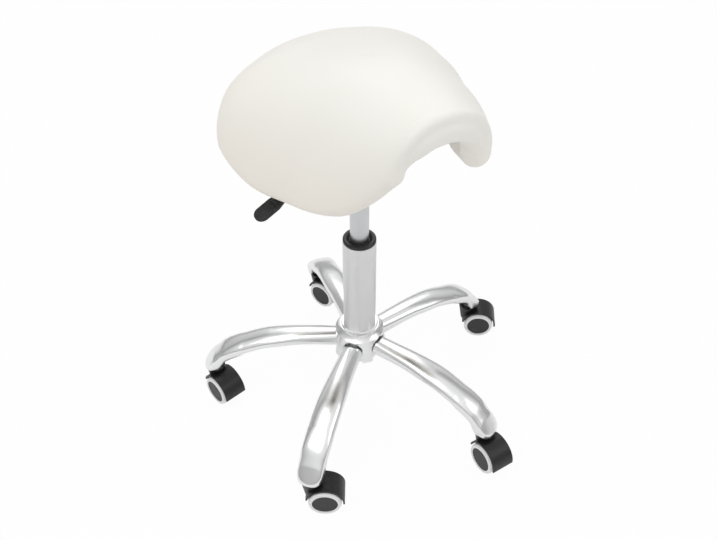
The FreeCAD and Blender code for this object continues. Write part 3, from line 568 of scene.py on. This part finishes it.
def arm_ring(reach):
    """A closed oval, whose waist rises and whose underside turns square towards the stem."""
    half_width, crest, underside, square = arm_profile(reach)
    waist = underside + (crest - underside) * (ARM_WAIST + ARM_WAIST_RISE * square)
    lower_power = 2 / (ARM_OVAL + ARM_LOWER_SQUARE * square)
    upper_power = 2 / (ARM_OVAL + ARM_UPPER_SQUARE * square)
    ring = []
    for k in range(ARM_AROUND):
        angle = 2 * math.pi * k / ARM_AROUND
        c, s = math.cos(angle), math.sin(angle)
        power = upper_power if s > 0 else lower_power
        side = half_width * math.copysign(abs(c) ** power, c)
        height = crest - waist if s > 0 else waist - underside
        ring.append((side, waist + height * math.copysign(abs(s) ** power, s)))
    return ring


def build_arms():
    """The five plated arms, each turned to its place round the column."""
    reaches = list(np.linspace(ARM_START, STEM_CIRCLE, ARM_STEPS))
    for k in range(1, ARM_TOE_STEPS + 1):
        reaches.append(STEM_CIRCLE + ARM_TOE * math.sin(k / ARM_TOE_STEPS * math.pi / 2))
    faces = ring_faces(len(reaches), ARM_AROUND)
    faces.append(tuple(range(ARM_AROUND))[::-1])
    faces.append(tuple((len(reaches) - 1) * ARM_AROUND + k for k in range(ARM_AROUND)))
    for i in range(ARMS):
        yaw = math.radians(BASE_YAW + 360 / ARMS * i)
        points = []
        for reach in reaches:
            for side, z in arm_ring(reach):
                x = reach * math.cos(yaw) - side * math.sin(yaw)
                y = reach * math.sin(yaw) + side * math.cos(yaw)
                points.append((x, y, z))
        arm = new_piece(f"arm_{i + 1}_plated", points, faces, "root", "base_chrome")
        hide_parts(f"base_arm_{i + 1}")


def build_floor():
    """A pale floor, almost plain white to the camera, which keeps a faint shadow of the stool."""
    bpy.ops.mesh.primitive_plane_add(size=FLOOR_SIZE)
    floor = bpy.context.object
    floor.name = "floor"
    material = bpy.data.materials.new("floor_white")
    tree = Nodes(material)
    path = tree.add("ShaderNodeLightPath").outputs
    mirrored = tree.calc("MULTIPLY", path["Is Glossy Ray"], FLOOR_GLOW_MIRRORED)
    share = tree.calc("MULTIPLY_ADD", path["Is Camera Ray"], FLOOR_GLOW, mirrored, clamp=True)
    diffuse = tree.add("ShaderNodeBsdfDiffuse", Color=FLOOR_COLOUR)
    glow = tree.add("ShaderNodeEmission", Color=WHITE, Strength=1.0)
    blend = tree.mix_shaders(share, diffuse, glow)
    tree.add("ShaderNodeOutputMaterial", Surface=blend.outputs[0])
    floor.data.materials.append(material)


def panel_ramp(tree, share):
    """The brightness of PANELS at a share of the half turn."""
    ramp = tree.add("ShaderNodeValToRGB", Fac=share)
    elements = ramp.color_ramp.elements
    while len(elements) < len(PANELS):
        elements.new(0.5)
    for element, (place, level) in zip(elements, PANELS):
        element.position = place
        element.color = (level, level, level, 1)
    return ramp.outputs["Color"]


def build_world():
    """Even light, white to the camera. Reflections show two bright panels with a gap between them."""
    world = bpy.data.worlds.new("studio")
    bpy.context.scene.world = world
    tree = Nodes(world)
    direction = tree.add("ShaderNodeTexCoord").outputs["Generated"]
    height = tree.add("ShaderNodeSeparateXYZ", Vector=direction).outputs["Z"]
    angle = tree.calc("ARCTAN2", height, tree.dot(direction, FRONT))
    panels = panel_ramp(tree, tree.calc("DIVIDE", angle, math.pi))
    sideways = tree.calc("POWER", tree.dot(direction, SIDE), 2.0)
    strength = tree.calc("MULTIPLY_ADD", sideways, -SIDE_FALL, 1.0)
    mirrored = tree.add("ShaderNodeBackground", Color=panels, Strength=strength)
    ambient = tree.add("ShaderNodeBackground", Color=WHITE, Strength=AMBIENT)
    plain = tree.add("ShaderNodeBackground", Color=WHITE, Strength=1.0)
    path = tree.add("ShaderNodeLightPath").outputs
    lit = tree.mix_shaders(path["Is Glossy Ray"], ambient, mirrored)
    seen = tree.mix_shaders(path["Is Camera Ray"], lit, plain)
    tree.add("ShaderNodeOutputWorld", Surface=seen.outputs[0])


def add_light(name, place, target, size, power):
    light = bpy.data.lights.new(name, "AREA")
    light.shape = "SQUARE"
    light.size = size
    light.energy = power
    lamp = bpy.data.objects.new(name, light)
    bpy.context.scene.collection.objects.link(lamp)
    lamp.location = place
    lamp.rotation_euler = (Vector(target) - Vector(place)).to_track_quat("-Z", "Y").to_euler()


def build_camera():
    data = bpy.data.cameras.new("photo_camera")
    data.sensor_width = SENSOR_WIDTH
    data.lens = FOCAL_PIXELS / PICTURE_WIDTH * SENSOR_WIDTH
    data.clip_start = CAMERA_NEAREST
    camera = bpy.data.objects.new("photo_camera", data)
    bpy.context.scene.collection.objects.link(camera)
    camera.location = CAMERA_PLACE
    aim = Euler((math.radians(90 - CAMERA_DOWN), 0, math.radians(CAMERA_TURN))).to_matrix()
    roll = Euler((0, 0, math.radians(CAMERA_ROLL))).to_matrix()
    camera.rotation_euler = (aim @ roll).to_euler()
    bpy.context.scene.camera = camera


build_camera()
dress_nodes()
build_saddle()
build_arms()
build_floor()
build_world()
for light in LIGHTS:
    add_light(*light)
bpy.context.scene.view_settings.view_transform = "Standard"
